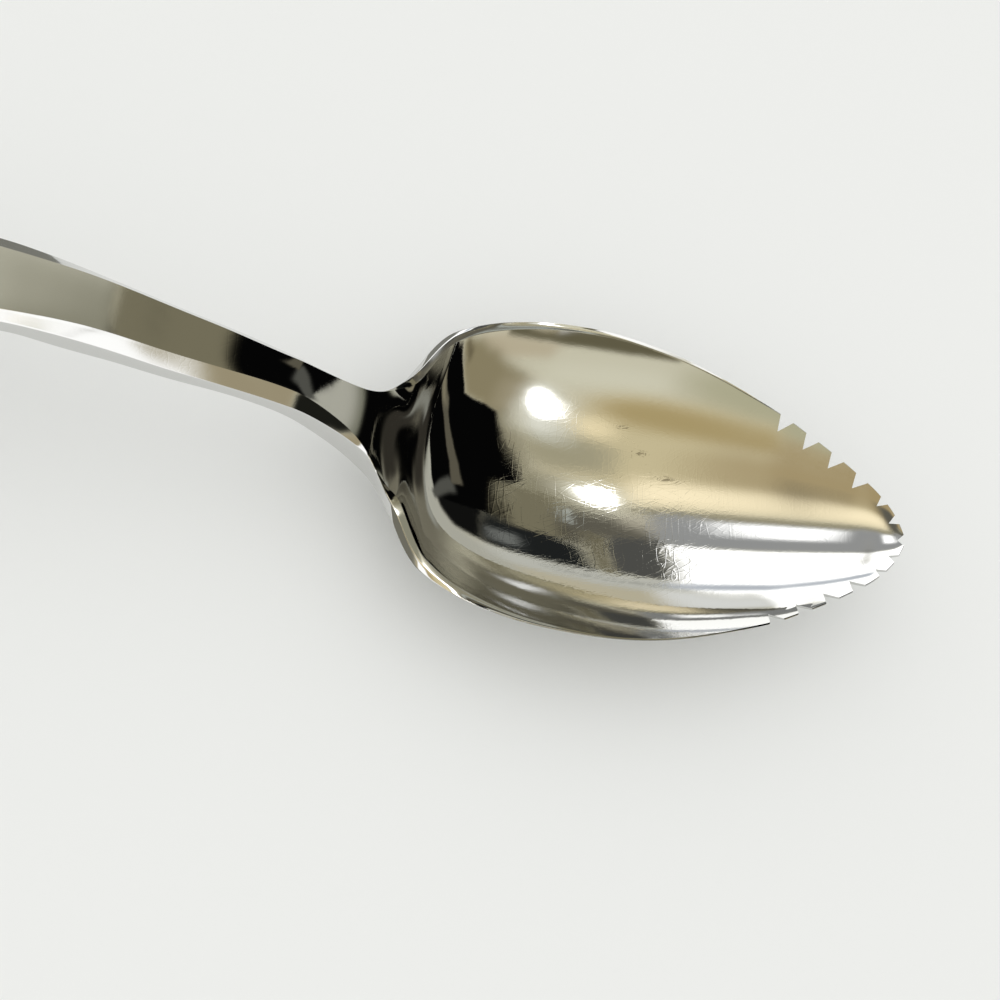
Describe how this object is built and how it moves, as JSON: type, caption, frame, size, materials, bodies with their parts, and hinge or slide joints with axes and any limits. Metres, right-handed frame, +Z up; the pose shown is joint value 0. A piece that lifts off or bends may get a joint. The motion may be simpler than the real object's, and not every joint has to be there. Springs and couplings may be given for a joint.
{
  "type": "grapefruit spoon",
  "caption": "Pointed grapefruit spoon of polished stainless steel with V-notched teeth round the bowl's tip, a deep narrow neck and a bevelled handle that arches over the table.",
  "frame": {"origin": "on the table under the middle of the spoon's length and width", "axes": "+X along the spoon towards the bowl's toothed tip, +Y across it, +Z up from the table with the bowl open upwards"},
  "size_m": [0.16, 0.0334, 0.0194],
  "materials": {
    "polished_steel": "mirror-polished stainless steel with fine scratches from use"
  },
  "bodies": {
    "root": {"bowl": "polished_steel", "neck": "polished_steel", "handle": "polished_steel", "handle_end": "polished_steel"}
  },
  "joints": []
}
